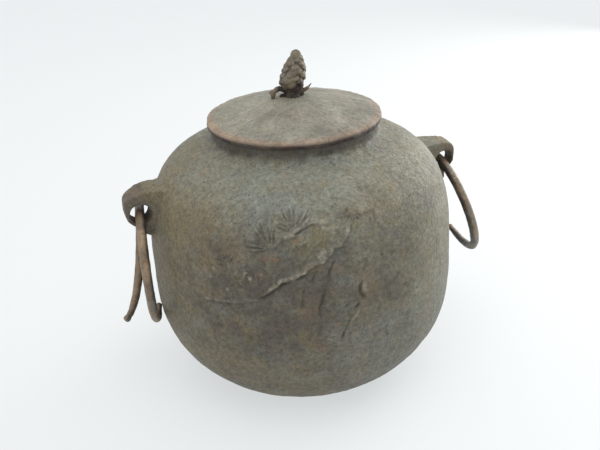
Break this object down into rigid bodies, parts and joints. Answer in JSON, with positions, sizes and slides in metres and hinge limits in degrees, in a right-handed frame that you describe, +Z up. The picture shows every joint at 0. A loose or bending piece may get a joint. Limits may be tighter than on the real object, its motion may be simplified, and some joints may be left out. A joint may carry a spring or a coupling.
{
  "type": "tea-ceremony kettle",
  "caption": "Spoutless rounded cast iron tea-ceremony kettle with loose carrying rings through its lugs and a domed lid with a pine-cone knob.",
  "frame": {"origin": "on the floor, under the middle of the round base", "axes": "+Z up; the lugs are on the X axis with their holes along Y; the decorated front faces -Y"},
  "size_m": [0.3067, 0.24, 0.2612],
  "materials": {
    "cast_body": "rough grey-brown cast skin with rust",
    "cast_lid": "dry grey-brown cast skin with a rusty edge",
    "knob_iron": "dark cast pine cone",
    "fittings_iron": "dark iron",
    "ring_iron": "forged iron, worn brown",
    "plate_iron": "rusty iron"
  },
  "bodies": {
    "kettle": {"kettle_body": "cast_body", "sound_plate_1": "plate_iron", "sound_plate_2": "plate_iron", "sound_plate_3": "plate_iron"},
    "lid_assembly": {"lid": "cast_lid", "lid_knob": "knob_iron", "knob_washer": "fittings_iron"},
    "left_ring": {"ring_left": "ring_iron"},
    "right_ring": {"ring_right": "ring_iron"}
  },
  "joints": [
    {"name": "lid_lift", "type": "slide", "parent": "kettle", "child": "lid_assembly", "axis": [0, 0, 1], "range_m": [0, 0.1]},
    {"name": "ring_left_swing", "type": "hinge", "parent": "kettle", "child": "left_ring", "pos_m": [-0.1269, 0, 0.1526], "axis": [0, 1, 0], "range_deg": [0, 200]},
    {"name": "ring_right_swing", "type": "hinge", "parent": "kettle", "child": "right_ring", "pos_m": [0.1269, 0, 0.153], "axis": [0, -1, 0], "range_deg": [-12, 200]}
  ]
}
